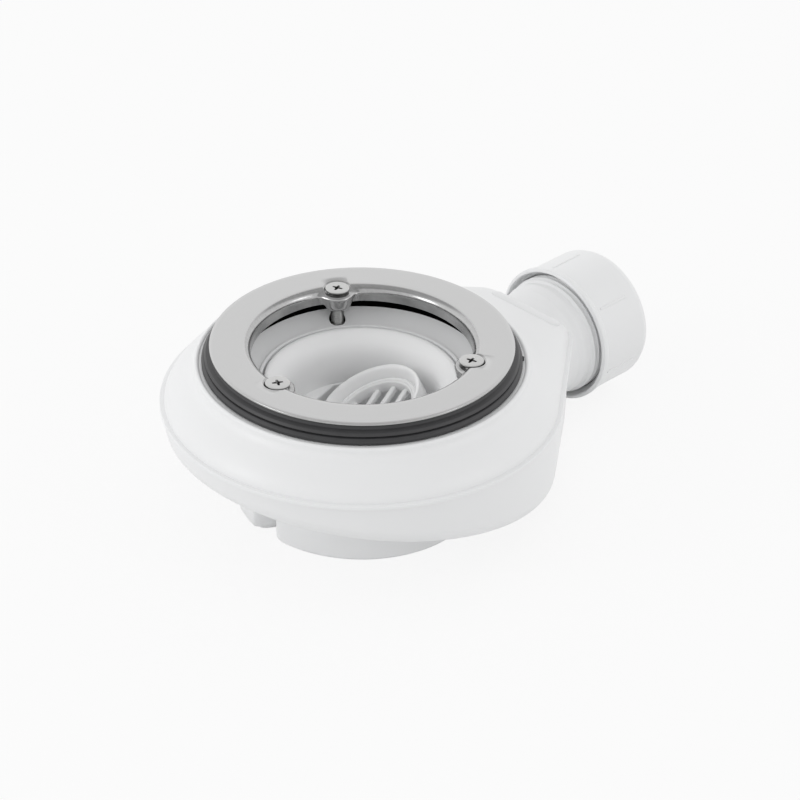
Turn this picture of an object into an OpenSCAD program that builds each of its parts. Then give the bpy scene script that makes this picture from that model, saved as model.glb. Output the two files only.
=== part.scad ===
// Shower tray waste trap with a horizontal outlet, for a 90 mm tray hole.
// Z = 0 is the underside of the sump, the Z axis is the drain axis, and the outlet points along +X.

/* [Body] */
// Height from the underside of the sump to the top of the clamping ring
height = 67; // [64:0.5:74]
// Diameter of the upper shell at the weld line
body_d = 147.2; // [142:0.2:156]
// Height of the weld line between the two shells
weld_z = 44.2; // [42:0.2:46]
// Wall thickness of both shells
wall = 2.4; // [2:0.1:3]
// Width of the crest, from the seals' seat out to the shoulder
crest_w = 1.8; // [1.4:0.1:2.4]

/* [Arm] */
// Distance from the drain axis to the arm's end wall at the weld line
arm_end = 89; // [85:0.5:96]
// Width of the arm at its end wall
arm_w = 54; // [50:0.5:60]
// Radius of the arm's corners in plan
arm_corner = 7; // [5:0.5:9]
// Height of the arm's top edge above the weld line
arm_rise = 5.2; // [4.6:0.1:5.8]
// How far the arm's top edge lies to one side of the outlet's axis
arm_lean = 6; // [4:0.5:7]
// How much narrower the arm is at its top, on each side
arm_taper = 5; // [3:0.5:6]
// Width of the rib along the arm's top edge
rib_w = 3; // [2:0.1:4]
// Length of that rib
rib_len = 34; // [28:1:38]

/* [Clamping ring] */
// Width of the ring's flat flange, out from its collar
ring_w = 14; // [12.5:0.5:16.5]
// Thickness of the ring's sheet steel
sheet_t = 1.2; // [1:0.1:1.5]
// Outer diameter of the collar that goes down through the tray hole
collar_d = 85; // [84:0.5:87]
// Depth of the collar below the ring's top
collar_h = 6.5; // [6:0.1:7.5]
// Inner radius of the bend between the ring's face and its collar
ring_bend = 1.6; // [1:0.1:2.4]
// Radius of the pressed pocket round each screw
pocket_r = 6.3; // [6:0.1:6.8]
// Depth of that pocket below the ring's top
pocket_h = 8; // [7.6:0.1:8.4]

/* [Screws] */
// Distance from the collar's outer face in to the screws' axes
screw_in = 0.7; // [0.4:0.1:1]
// Direction of the first screw, from +X
screw_start = 59; // [50:1:70]
// Thread diameter of the screws
screw_d = 5; // [4:0.1:5]
// Diameter of the screw head
screw_head_d = 9.3; // [8.8:0.1:9.4]
// Length of the screws, with the head
screw_len = 25; // [20:0.5:26]
// Outer diameter of the threaded brass inserts
insert_d = 6.2; // [5.8:0.1:7]
// Length of the threaded inserts
insert_len = 8; // [6:0.5:8]

/* [Tray seals] */
// How far the seals' lip stands out past the ring
seal_out = 3; // [2:0.1:3.5]
// Height of the upper seal
upper_seal_h = 3.5; // [3:0.1:4.5]
// Height of the lower seal above its seat
lower_seal_h = 2.8; // [2.4:0.1:3.5]
// Depth of the step that locks the lower seal's foot
seal_step = 3.6; // [3:0.1:4]
// Radial width of that foot
seal_foot_w = 4.2; // [3:0.1:5]

/* [Sump] */
// Diameter of the sump's outer wall at the top
sump_d = 91.5; // [88:0.5:94]
// How much narrower its radius is at the underside
sump_draft = 0.9; // [0.4:0.1:1.5]
// Wall thickness of the sump
sump_wall = 2.4; // [2:0.1:3]
// Gap between the screw bosses and the weir that the water runs over
weir_gap = 1.5; // [1:0.1:3]
// Height of the body's underside at the drain axis
under_z = 17.6; // [16.5:0.1:19]
// Fall of the underside towards the outlet, in degrees
under_fall = 10.5; // [9:0.5:10.5]
// Radius of the rounding along the body's lower edge
under_round = 7; // [6:0.5:9]
// Depth of the notch in the sump's wall
notch_depth = 8.5; // [7:0.5:10]
// Rounding of the upright corners beside the notch
notch_round = 3; // [2:0.5:3.5]
// How far the foot beside the notch stands out from the sump's wall
foot_out = 1.6; // [1:0.1:2.2]

/* [Trap cup] */
// Distance from the screws' axes in to the sleeve that holds the cup
sleeve_in = 4.6; // [4.2:0.1:4.8]
// Gap all round between the cup's rim and the sleeve
cup_gap = 0.8; // [0.6:0.1:1]
// Height of the cup's rim above its seat
cup_h = 6.8; // [6.4:0.1:7.4]
// Distance from the sleeve's throat in to the bore of the cup's tube
tube_in = 5.5; // [5:0.1:6]
// Wall thickness of the tube
tube_wall = 2; // [1.6:0.1:2.4]
// Height of the tube's open lower end
dip_z = 7; // [6:0.5:9]
// Depth of the ledge inside the tube, below the cup's rim
ledge_drop = 18.8; // [18.4:0.1:20]
// Width of the ledge at its middle
ledge_w = 5; // [3.5:0.1:5.5]
// Thickness of the cup's sealing ring
o_ring_t = 2.2; // [2:0.1:2.4]

/* [Hair grille] */
// Gap between the tube's bore and the grille's slanted basket
grille_gap = 6.9; // [6.4:0.1:7.4]
// Slope of the basket, from level
grille_tilt = 25; // [22:0.5:27]
// Direction of its high side, from +X
grille_turn = -33; // [-50:1:-10]
// Distance of the basket's centre from the drain axis
grille_x = 2.6; // [2:0.1:3]
// Depth of the centre of its top edge below the cup's rim
grille_drop = 11; // [10.5:0.1:12]
// Wall thickness of the basket
grille_wall = 1; // [0.8:0.1:1.4]
// Depth of the basket below its top edge
grille_h = 8.7; // [8:0.1:9.5]
// Width of the stepped floor round the opening that the slats cross
grille_floor_w = 5.3; // [4.8:0.1:6]
// Spacing of the slats
slat_pitch = 6.4; // [5.6:0.1:6.8]
// Width of each slat
slat_t = 2.2; // [1.6:0.1:2.4]
// Direction of the slats, from the slope
slat_turn = 47; // [40:1:50]

/* [Outlet] */
// Outer diameter of the waste pipe that the outlet takes
pipe_d = 40; // [39:0.5:41]
// Height of the outlet's axis
outlet_z = 27.5; // [27:0.1:29]
// Thread diameter of the outlet's spigot
thread_d = 47.8; // [47:0.1:49]
// Diameter of the plain neck between the arm and the thread
neck_d = 43.6; // [43:0.1:45]
// Distance from the drain axis to the spigot's end
spigot_end = 123; // [120:0.5:130]
// Depth of the pipe's socket in the spigot
socket_depth = 20; // [15:0.5:24]

/* [Union nut] */
// Outer diameter of the union nut
nut_d = 53.6; // [53:0.2:55]
// Length of the union nut
nut_len = 28; // [26:0.5:30]
// Thickness of the nut's outer end
nut_end_t = 4; // [3:0.1:5]
// Length of the wedge seal
wedge_len = 5; // [4:0.1:6]
// Thickness of the slip washer
washer_t = 1.5; // [1:0.1:2]
// Clearance between the pipe and the rings that it passes
pipe_clear = 0.4; // [0.3:0.05:0.6]

/* [Hidden] */

$fn = 96;
eps = 0.01;
// Length that a cut goes on past what it cuts
past = 12;
screw_count = 3;

// Clearance between round faces that fit one in the other
fit = 0.05;
// Clearance of a screw in its hole
screw_play = 0.25;

body_r = body_d / 2;
ring_under = height - sheet_t;
collar_r = collar_d / 2;
ring_r = collar_r + ring_w;
screw_circle_r = collar_r - screw_in;
screw_hole_r = screw_d / 2 + screw_play;

// Radius of the sheet pressed down under a screw's head
sink_r = screw_head_d / 2 + 0.8;

// Seats of the two tray seals, counted down from the ring
upper_seal_z = ring_under - upper_seal_h;
seat_z = upper_seal_z - lower_seal_h;
step_z = seat_z - seal_step;
seal_r = ring_r + seal_out;
seal_in_r = screw_circle_r + screw_hole_r + 1;
upper_seal_in_r = screw_circle_r + sink_r + 0.3;
step_r = seal_in_r + seal_foot_w + fit;
seat_r = seal_r + 0.7;

// Shoulder of the upper shell
shoulder_w = body_r - seat_r - crest_w;
dip_level = seat_z - 2.6;
shoulder_rise = dip_level - weld_z;

// Sleeve that holds the trap cup, and the cone above it
sleeve_r = screw_circle_r - sleeve_in;
cone_w = 2.3;
cone_h = 3.8;
mouth_r = sleeve_r + cone_w;
cone_z = step_z - cone_h;
cup_seat_z = cone_z - cup_h;
cup_seat_w = 4.2;
cup_r = sleeve_r - cup_gap;
cup_rim_z = cup_seat_z + cup_h;
throat_r = sleeve_r - cup_seat_w;
tube_r = throat_r - tube_in;
tube_out_r = tube_r + tube_wall;
ledge_z = cup_rim_z - ledge_drop;
ledge_in = tube_r - ledge_w;
// Groove of the cup's sealing ring
groove_lift = 1.4;
groove_depth = 1.5;
groove_z = cup_seat_z + groove_lift;
throat_wall = 2.2;
throat_z = cup_seat_z - 5;

// Funnel of the cup, which is steeper above its middle
funnel_top = cup_r - 1.8;
funnel_mid = cup_r - 4.8;
funnel_mid_z = cup_rim_z - 4.5;
tube_top = funnel_mid_z - 3.9;

// How much narrower a pressed pocket's radius is at its lower end
pocket_draft = 1.2;

// Screw bosses
insert_r = insert_d / 2;
insert_top = step_z - 5;
insert_base = insert_top - insert_len;
screw_top = height - 0.1;
screw_tip = screw_top - screw_len;
boss_r = insert_r + fit + 2.8;
boss_floor = 1.4;
boss_base = screw_tip - 1 - boss_floor;
boss_bore_r = insert_r + fit;
boss_mouth = 0.9;
boss_mouth_h = 2.7;

// Lower shell
rim_out = 1.7;
rim_h = 2.7;
lower_r = body_r + rim_out - 1;
sump_r = sump_d / 2;
sump_in_r = sump_r - sump_draft - sump_wall;
sump_floor = 2.6;
weir_t = 2.2;
weir_z = boss_base - weir_gap;
notch_from = 170.5;
notch_to = 180;
foot_from = 138;
foot_lift = 1.2;
notch_r = sump_r - notch_depth;

// Outlet
pipe_r = pipe_d / 2;
thread_r = thread_d / 2;
neck_r = neck_d / 2;
bore_r = pipe_r - 1.8;
neck_len = 14;
thread_start = arm_end + neck_len;
nut_r = nut_d / 2;
nut_bore_r = thread_r + 0.3;
wedge_z = spigot_end;
washer_z = wedge_z + wedge_len;
nut_shoulder = washer_z + washer_t;
nut_end = nut_shoulder + nut_end_t;
nut_start = nut_end - nut_len;
pass_r = pipe_r + pipe_clear;
nut_lip = 0.8;
rib_count = 6;
rib_from = 48;
grip_rib_r = 1;
grip_rib_len = 15;

// Hair grille: floor ring, slats and lugs
grille_r = tube_r - grille_gap;
grille_z = cup_rim_z - grille_drop;
grille_open_r = grille_r - grille_floor_w;
step_top = -5.7;
step_h = 1.2;
slat_h = 2.4;
slat_shift = 0.9;
lug_w = 4;
lug_h = 3;
lug_x = 5.2;
lug_side_z = grille_z - 7.4;
lug_back_z = grille_z - 15.2;
lug_in = 8.6;

white = [0.94, 0.94, 0.93];
steel = [0.72, 0.73, 0.74];
rubber = [0.10, 0.10, 0.11];
brass = [0.80, 0.66, 0.33];

// Points on an arc, from angle a0 to a1
function arc(cx, cy, r, a0, a1, n = 8) =
    [for (i = [0:n]) let (a = a0 + (a1 - a0) * i / n) [cx + r * cos(a), cy + r * sin(a)]];

// Turns a section of radius and height about the drain axis
module turned(points) rotate_extrude() polygon(points);

// Turns a section of radius and distance about the outlet's axis
module turned_on_outlet(points)
    translate([0, 0, outlet_z]) rotate([0, 90, 0]) rotate_extrude() polygon(points);

module at_screw(i)
    rotate(screw_start + i * 360 / screw_count) translate([screw_circle_r, 0, 0]) children();

module thin_disc(r, z) translate([0, 0, z]) cylinder(h = eps, r = r);

// Two thin corner discs of the arm's end, set in from its outline; level goes from 0 at the weld to 1
module arm_corners(inset, z, level = 0)
    for (side = [-1, 1])
        translate([arm_end - arm_corner,
                   side * (arm_w / 2 - arm_corner - level * arm_taper) - level * arm_lean, z])
            cylinder(h = eps, r = arm_corner - inset, $fn = 32);

// How far the shoulder has drawn in at a height above the weld line
function shoulder_in(rise) = shoulder_w * pow(rise / shoulder_rise, 1.6);

// Outer form of the upper shell, drawn in by a wall thickness for its hollow
module upper_form(skin = 0, foot = 0) {
    drop = min(skin, 1) * (wall - eps);
    hull() {
        thin_disc(body_r - skin * wall, weld_z - foot);
        arm_corners(skin * wall, weld_z - foot);
        for (step = [0.15, 0.3, 0.45, 0.6, 0.75, 0.9, 1])
            thin_disc(body_r - skin * wall - shoulder_in(step * shoulder_rise),
                      weld_z + step * shoulder_rise - drop - eps);
        for (step = [[0.45, 0.4, 0.1], [0.8, 1.6, 0.5], [1, 3.8, 1]])
            arm_corners(skin * wall + step[1], weld_z + step[0] * arm_rise - drop - eps, step[2]);
    }
}

// Rounded crest, seat and mouth of the upper shell, as one turned section
module upper_flange()
    turned(concat(
        [[mouth_r, step_z], [step_r, step_z], [step_r, seat_z], [seat_r, seat_z]],
        arc(seat_r + 1.1, seat_z - 0.4, 1, 155, 20, 6),
        [[seat_r + 2.5, dip_level], [seat_r + 2.5, dip_level - wall], [step_r + wall, dip_level - wall],
         [step_r, step_z - wall], [mouth_r + 1, step_z - wall],
         [sleeve_r + wall, cone_z - wall], [sleeve_r + wall, cup_seat_z - throat_wall],
         [throat_r + throat_wall, cup_seat_z - throat_wall], [throat_r + throat_wall, throat_z],
         [throat_r, throat_z], [throat_r, cup_seat_z], [sleeve_r, cup_seat_z],
         [sleeve_r, cone_z]]));

module screw_boss()
    translate([0, 0, boss_base])
        cylinder(h = step_z - boss_base - wall / 2, r = boss_r, $fn = 48);

// Bore for the insert and the screw, with a wider mouth
module screw_boss_bore() {
    translate([0, 0, insert_base]) cylinder(h = step_z + 1 - insert_base, r = boss_bore_r, $fn = 48);
    translate([0, 0, screw_tip - 1]) cylinder(h = insert_base - screw_tip + 2, r = screw_hole_r, $fn = 48);
    translate([0, 0, step_z - boss_mouth_h])
        cylinder(h = boss_mouth_h + 1, r = boss_bore_r + boss_mouth, $fn = 48);
}

module upper_shell() color(white) difference() {
    union() {
        difference() {
            upper_form();
            upper_form(skin = 1, foot = 1);
            translate([0, 0, weld_z - 1]) cylinder(h = height, r = step_r + wall / 2);
        }
        upper_flange();
        difference() {
            for (i = [0:screw_count - 1]) at_screw(i) screw_boss();
            turned([[0, boss_base - 1], [sleeve_r + wall / 2, boss_base - 1],
                    [sleeve_r + wall / 2, cone_z - wall / 2], [mouth_r + 1, step_z - wall / 2],
                    [mouth_r + 1, height], [0, height]]);
        }
        arm_rib();
    }
    for (i = [0:screw_count - 1]) at_screw(i) screw_boss_bore();
    // Arch over the neck of the outlet
    translate([arm_end - wall - fit, 0, outlet_z]) rotate([0, 90, 0]) cylinder(h = past, r = neck_r + fit);
}

// Raised rib along the arm's top edge
module arm_rib()
    translate([arm_end - arm_corner + 1.4, rib_len / 2 - arm_lean, weld_z + arm_rise - 1.2])
        rotate([90, 0, 0]) cylinder(h = rib_len, r = rib_w / 2, $fn = 32);

// Height of the body's underside at a distance along the outlet's axis
function under_at(x) = under_z - x * tan(under_fall);

// Moves flat outlines onto the sloping underside, raised by h
module on_slope(h)
    multmatrix([[1, 0, 0, 0], [0, 1, 0, 0], [-tan(under_fall), 0, 1, under_z + h], [0, 0, 0, 1]])
        children();

module lower_outline(inset) {
    thin_disc(lower_r - inset, 0);
    arm_corners(inset - (lower_r - body_r), 0);
}

// Outer form of the lower shell, drawn in by a wall thickness for its hollow
module lower_form(skin = 0, top = 0)
    hull() {
        translate([0, 0, top]) lower_outline(skin * wall);
        for (a = [0, 30, 60, 90])
            on_slope(skin * wall + under_round * (1 - sin(a)))
                lower_outline(skin * wall + 0.8 + under_round * (1 - cos(a)) * 0.8);
    }

module sector(from, to, r0, r1) polygon(concat(arc(0, 0, r0, from, to, 6), arc(0, 0, r1, to, from, 6)));

module rounded(r) offset(r = r) offset(delta = -r) children();

// Upright notch in the sump's wall, with rounded corners
module notch_plan() difference() {
    sector(notch_from - 6, notch_to + 6, notch_r - 1, sump_r + past);
    rounded(notch_round) difference() {
        union() {
            circle(r = sump_r);
            foot_plan();
        }
        sector(notch_from, notch_to, notch_r, sump_r + past);
    }
}

module foot_plan() sector(foot_from, notch_from, sump_in_r + 1, sump_r + foot_out);

module lower_shell() color(white) difference() {
    union() {
        difference() {
            union() {
                lower_form(top = weld_z - rim_h);
                translate([0, 0, weld_z - rim_h]) linear_extrude(height = rim_h) hull() {
                    circle(r = body_r + rim_out);
                    for (side = [-1, 1])
                        translate([arm_end - arm_corner, side * (arm_w / 2 - arm_corner)])
                            circle(r = arm_corner + rim_out, $fn = 32);
                }
            }
            lower_form(skin = 1, top = weld_z + 1);
        }
        // Sump wall, drawn in towards its underside, and the weir above it
        turned([[0, 0], [sump_r - sump_draft - 0.8, 0], [sump_r - sump_draft, 0.8],
                [sump_r, under_at(-sump_r)], [sump_in_r + weir_t, under_at(-sump_r)],
                [sump_in_r + weir_t, weir_z - 0.8], [sump_in_r + weir_t - 0.8, weir_z], [0, weir_z]]);
        translate([0, 0, foot_lift]) linear_extrude(height = under_at(-sump_r) - foot_lift)
            rounded(1.5) foot_plan();
        // Neck and threaded spigot
        turned_on_outlet([[0, arm_end - wall], [neck_r, arm_end - wall], [neck_r, thread_start - 2],
                          [thread_r - 0.4, thread_start - 1.2], [thread_r, thread_start - 0.6],
                          [thread_r, spigot_end - 0.8], [thread_r - 0.8, spigot_end], [0, spigot_end]]);
    }
    difference() {
        translate([0, 0, sump_floor]) cylinder(h = height, r = sump_in_r);
        translate([0, 0, sump_floor]) linear_extrude(height = weir_z)
            sector(notch_from - 5, notch_to + 5, notch_r - sump_wall, sump_r);
    }
    translate([0, 0, -1]) linear_extrude(height = under_at(-sump_r) + 1.5) notch_plan();
    turned_on_outlet([[0, arm_end - past], [bore_r, arm_end - past], [bore_r, spigot_end - socket_depth],
                      [pass_r, spigot_end - socket_depth], [pass_r, spigot_end + 1], [0, spigot_end + 1]]);
}

// Sheet steel ring: a flat face, a bend and a collar
module ring_section()
    turned(concat(
        [[ring_r - 0.3, ring_under], [ring_r, ring_under + 0.3],
         [ring_r, height - 0.3], [ring_r - 0.3, height]],
        arc(collar_r + ring_bend, ring_under - ring_bend, ring_bend + sheet_t, 90, 180),
        [[collar_r - sheet_t, height - collar_h], [collar_r, height - collar_h]],
        arc(collar_r + ring_bend, ring_under - ring_bend, ring_bend, 180, 90)));

// Pressed pocket round a screw, with its countersink still solid
// Outside the collar only the countersink goes below the sheet
module pocket() {
    difference() {
        turned(concat(
            [[0, height]],
            arc(pocket_r - 1.8, height - 1.8, 1.8, 90, 0, 6),
            [[pocket_r - pocket_draft, height - pocket_h],
             [pocket_r - pocket_draft - sheet_t, height - pocket_h],
             [pocket_r - 0.3 - sheet_t, ring_under - 1.6], [0, ring_under - 1.6]]));
        translate([-screw_circle_r, 0, 0])
            turned([[collar_r - 0.3, 0], [ring_r, 0], [ring_r, ring_under],
                    [collar_r - 0.3, ring_under]]);
    }
    turned([[0, ring_under + 0.4], [sink_r, ring_under + 0.4], [sink_r, ring_under],
            [screw_hole_r + sheet_t, ring_under - 2.4], [0, ring_under - 2.4]]);
}

// What a pocket takes out of the collar, up to the middle of the pocket's sheet
module pocket_core()
    translate([0, 0, height - collar_h - 1])
        cylinder(h = collar_h - sheet_t, r1 = pocket_r - pocket_draft - sheet_t * 0.6,
                 r2 = pocket_r - sheet_t, $fn = 48);

// Room for the screw's head and shank
module countersink() {
    r = screw_head_d / 2 + 0.1;
    turned([[0, height + 1], [r, height + 1], [r, screw_top - 0.3],
            [screw_hole_r, screw_top - 0.3 - (r - screw_hole_r)], [screw_hole_r, 0], [0, 0]]);
}

module clamping_ring() color(steel) difference() {
    union() {
        difference() {
            ring_section();
            for (i = [0:screw_count - 1]) at_screw(i) pocket_core();
        }
        for (i = [0:screw_count - 1]) at_screw(i) pocket();
    }
    for (i = [0:screw_count - 1]) at_screw(i) countersink();
}

// Countersunk machine screw with a cross recess
module screw(i) color(steel) at_screw(i) difference() {
    turned([[0, screw_tip], [screw_d / 2 - 0.8, screw_tip], [screw_d / 2, screw_tip + 0.8],
            [screw_d / 2, screw_top - 0.3 - (screw_head_d - screw_d) / 2],
            [screw_head_d / 2, screw_top - 0.3],
            [screw_head_d / 2, screw_top - 0.1], [screw_head_d / 2 - 0.2, screw_top], [0, screw_top]]);
    for (turn = [0, 90]) rotate(turn + 45)
        translate([-screw_head_d * 0.27, -0.5, screw_top - 1.5]) cube([screw_head_d * 0.54, 1, 2]);
}

module thread_insert(i) color(brass) at_screw(i)
    translate([0, 0, insert_base]) difference() {
        cylinder(h = insert_len, r = insert_r, $fn = 48);
        translate([0, 0, -1]) cylinder(h = insert_len + 2, r = screw_d / 2 + fit, $fn = 48);
    }

// Upper tray seal: hollow-sided, with a lit bevel over the groove
module upper_seal() color(rubber)
    turned([[upper_seal_in_r, upper_seal_z], [seal_r - 1.6, upper_seal_z], [seal_r - 1.1, upper_seal_z + 0.4],
            [seal_r - 1.7, upper_seal_z + 1.4], [seal_r - 3.4, upper_seal_z + 2.1],
            [seal_r - 3.9, ring_under], [upper_seal_in_r, ring_under]]);

// Lower tray seal: an outer lip, and a foot locked in the step of the upper shell
module lower_seal() color(rubber) {
    turned([[seal_in_r, step_z], [seal_in_r + seal_foot_w, step_z], [seal_in_r + seal_foot_w, seat_z],
            [seal_r - 0.5, seat_z], [seal_r, seat_z + 0.5], [seal_r, seat_z + 1.4],
            [seal_r - 0.6, upper_seal_z - 0.4], [seal_r - 1.8, upper_seal_z], [seal_in_r, upper_seal_z]]);
    rotate(-44) translate([seal_r - 0.4, 0, seat_z + 0.2]) cylinder(h = 1.4, r = 1, $fn = 24);
}

// Round tube with one flat side, at a distance from the drain axis
module flat_sided(r, flat, z0, z1) intersection() {
    translate([0, 0, z0]) cylinder(h = z1 - z0, r = r);
    translate([-r - 1, -r - 1, z0]) cube([r + 1 + flat, 2 * r + 2, z1 - z0]);
}

// Removable cup: rounded rim, funnel, ledge and dip tube; the ledge's edge runs along the slats
module trap_cup() color(white) rotate(grille_turn + slat_turn + 90) difference() {
    union() {
        turned(concat(
            [[0, ledge_z - 2], [tube_out_r, ledge_z - 2], [tube_out_r, throat_z],
             [throat_r - 0.6, cup_seat_z - 3.5], [throat_r - 0.6, cup_seat_z], [cup_r, cup_seat_z],
             [cup_r, groove_z], [cup_r - groove_depth, groove_z],
             [cup_r - groove_depth, groove_z + o_ring_t + 0.2], [cup_r, groove_z + o_ring_t + 0.2]],
            arc(cup_r - 1.2, cup_rim_z - 1.2, 1.2, 0, 90, 6),
            [[0, cup_rim_z]]));
        flat_sided(tube_out_r, ledge_in + tube_wall, dip_z, ledge_z);
    }
    turned([[0, cup_rim_z + 1], [funnel_top, cup_rim_z + 1], [funnel_top, cup_rim_z],
            [funnel_top - 0.6, cup_rim_z - 0.4], [funnel_mid, funnel_mid_z], [tube_r, tube_top],
            [tube_r, ledge_z], [0, ledge_z]]);
    flat_sided(tube_r, ledge_in, dip_z - 1, ledge_z + 1);
}

module cup_sealing_ring() color(rubber)
    rotate_extrude()
        translate([cup_r - groove_depth + fit + o_ring_t / 2, groove_z + 0.1 + o_ring_t / 2])
        circle(d = o_ring_t, $fn = 32);

// Places a shape in the grille's sloping plane
module on_grille() translate([grille_x, 0, grille_z]) rotate([0, -grille_tilt, 0]) children();

// Reach of a lug to the tube's wall, at a distance to one side of the axis
function tube_chord(aside) = sqrt(pow(tube_r - fit, 2) - pow(aside, 2));

// Lug from the basket's wall out to the tube
module grille_lug(reach, z, across) translate([grille_r - 2, -across / 2, z])
    cube([reach - grille_r + 2, across, lug_h]);

// Slanted basket with a stepped floor, parallel slats, and three lugs that hold it in the tube
module hair_grille() color(white) rotate(grille_turn) {
    difference() {
        union() {
            for (side = [-90, 90]) translate([lug_x, 0, 0]) rotate(side)
                grille_lug(tube_chord(lug_x + lug_w / 2), lug_side_z, lug_w);
            translate([-tube_chord(lug_w / 2), -lug_w / 2, lug_back_z])
                cube([tube_chord(lug_w / 2) - grille_r + lug_in, lug_w, lug_h]);
        }
        on_grille() translate([0, 0, -grille_h]) cylinder(h = grille_h * 3, r = grille_r - grille_wall / 2);
    }
    on_grille() {
        floor_z = step_top - step_h;
        turned(concat(
            [[grille_open_r, -grille_h], [grille_r, -grille_h]],
            arc(grille_r - grille_wall / 2, -grille_wall / 2, grille_wall / 2, 0, 180, 6),
            [[grille_r - grille_wall, step_top], [grille_r - grille_wall - 0.4, step_top - 0.5]],
            arc(grille_r - grille_wall - 1.3, step_top - 0.7, 0.8, 40, 180, 4),
            [[grille_open_r + 2.2, floor_z], [grille_open_r, floor_z]]));
        intersection() {
            translate([0, 0, -grille_h - 0.6]) cylinder(h = slat_h, r = grille_open_r + 1);
            rotate(slat_turn) for (k = [-2:2])
                translate([-grille_r, k * slat_pitch + slat_shift - slat_t / 2, -grille_h - 1])
                    cube([2 * grille_r, slat_t, slat_h + 1]);
        }
    }
}

// Union nut, with a lip at its inner end and fine ribs along its side
module union_nut() color(white) {
    turned_on_outlet([
        [thread_r + 1.7, nut_start], [nut_r, nut_start], [nut_r + nut_lip, nut_start + 0.8],
        [nut_r + nut_lip, nut_start + 2.6], [nut_r, nut_start + 3.4],
        [nut_r, nut_end - 3], [nut_r - 0.9, nut_end - 0.9], [nut_r - 3, nut_end],
        [pass_r, nut_end], [pass_r, nut_shoulder], [thread_r - 0.9, nut_shoulder],
        [thread_r - 0.9, washer_z], [nut_bore_r, wedge_z + 1], [nut_bore_r, nut_start + 1.4]]);
    for (i = [0:rib_count - 1])
        translate([nut_start + 5, 0, outlet_z]) rotate([rib_from + i * 360 / rib_count, 0, 0])
            translate([0, 0, nut_r - grip_rib_r + 0.35]) rotate([0, 90, 0])
                cylinder(h = grip_rib_len, r = grip_rib_r, $fn = 24);
}

module wedge_seal() color(rubber)
    turned_on_outlet([[pass_r, wedge_z], [thread_r - 0.5, wedge_z], [thread_r - 0.5, wedge_z + 0.8],
                      [thread_r - 1.4, washer_z], [pass_r, washer_z]]);

module slip_washer() color(white)
    turned_on_outlet([[pass_r, washer_z], [thread_r - 1.2, washer_z], [thread_r - 1.2, nut_shoulder],
                      [pass_r, nut_shoulder]]);

upper_shell();
lower_shell();
clamping_ring();
for (i = [0:screw_count - 1]) {
    screw(i);
    thread_insert(i);
}
upper_seal();
lower_seal();
trap_cup();
cup_sealing_ring();
hair_grille();
union_nut();
wedge_seal();
slip_washer();
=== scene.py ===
import math

import bmesh
import bpy
import numpy as np
from mathutils import Matrix, Vector
from mathutils.bvhtree import BVHTree


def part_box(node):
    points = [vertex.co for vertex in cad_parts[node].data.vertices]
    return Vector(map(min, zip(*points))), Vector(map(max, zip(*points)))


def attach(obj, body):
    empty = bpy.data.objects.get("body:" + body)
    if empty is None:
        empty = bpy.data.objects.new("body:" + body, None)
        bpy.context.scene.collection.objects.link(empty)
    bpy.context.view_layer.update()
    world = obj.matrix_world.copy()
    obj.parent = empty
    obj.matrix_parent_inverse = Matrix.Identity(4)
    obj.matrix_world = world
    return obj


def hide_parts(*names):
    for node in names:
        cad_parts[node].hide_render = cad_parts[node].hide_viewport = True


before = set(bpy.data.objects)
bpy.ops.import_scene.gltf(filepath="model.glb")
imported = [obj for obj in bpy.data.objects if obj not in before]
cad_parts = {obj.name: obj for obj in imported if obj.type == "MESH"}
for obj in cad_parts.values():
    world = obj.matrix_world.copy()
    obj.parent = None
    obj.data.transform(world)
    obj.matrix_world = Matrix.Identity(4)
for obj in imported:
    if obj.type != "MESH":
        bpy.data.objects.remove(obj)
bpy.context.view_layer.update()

# All sizes below are in millimetres, as in the part's own frame
MM = 0.001
FINE = 256


def box_mm(node):
    """Lowest and highest corner of a CAD node in millimetres"""
    low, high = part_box(node)
    return Vector(low) / MM, Vector(high) / MM


# Places that the frame gives
ring_low, ring_high = box_mm("clamping_ring")
upper_low, upper_high = box_mm("upper_shell")
lower_low, lower_high = box_mm("lower_shell")
lip_low, lip_high = box_mm("upper_seal")
foot_low, foot_high = box_mm("lower_seal")
cup_low, cup_high = box_mm("trap_cup")
nut_low, nut_high = box_mm("union_nut")
insert_low, insert_high = box_mm("thread_insert_1")
top = ring_high.z
ring_r = ring_high.x
ring_under = lip_high.z
sheet = top - ring_under
collar_r = 42.5
outlet_z = (nut_low.z + nut_high.z) / 2
screw_boxes = [box_mm(f"screw_{i}") for i in (1, 2, 3)]
screw_places = [(low + high) / 2 for low, high in screw_boxes]
screw_angles = [math.atan2(place.y, place.x) for place in screw_places]
screw_circle = sum(math.hypot(place.x, place.y) for place in screw_places) / 3

# Upper shell
body_r = -upper_low.x
weld_z = 44.2
wall = 2.4
arm_end = upper_high.x
arm_half = 27
arm_corner = 7
arm_rise = 5.2
arm_lean = 6
arm_taper = 5
edge_round = 3.8
step_z = foot_low.z
seat_z = step_z + 3.6
step_r = 49.8
seat_r = 60.2
dip_z = seat_z - 2.6
shoulder_in = 11.6
sleeve_r = 37.2
dish_r = 45.6
sleeve_top = cup_high.z
sleeve_seat = sleeve_top - 6.8
throat_r = 33.0
throat_z = sleeve_seat - 5

# Lower shell
rim_out = 1.7
rim_h = 1.6
skirt_out = 0.7
under_z = 17.6
under_slope = math.tan(math.radians(10.5))
under_round = 7
sump_r = 45.75
sump_draft = 0.9
sump_in = 42.45
sump_floor = 2.6
weir_z = 38
weir_t = 2.2
notch_depth = 8.5
notch_from, notch_to, notch_fillet, foot_from = (math.radians(a) for a in (171.5, 173.2, 14.5, 138))
foot_out = 2.4
foot_lift = 1.4

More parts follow.
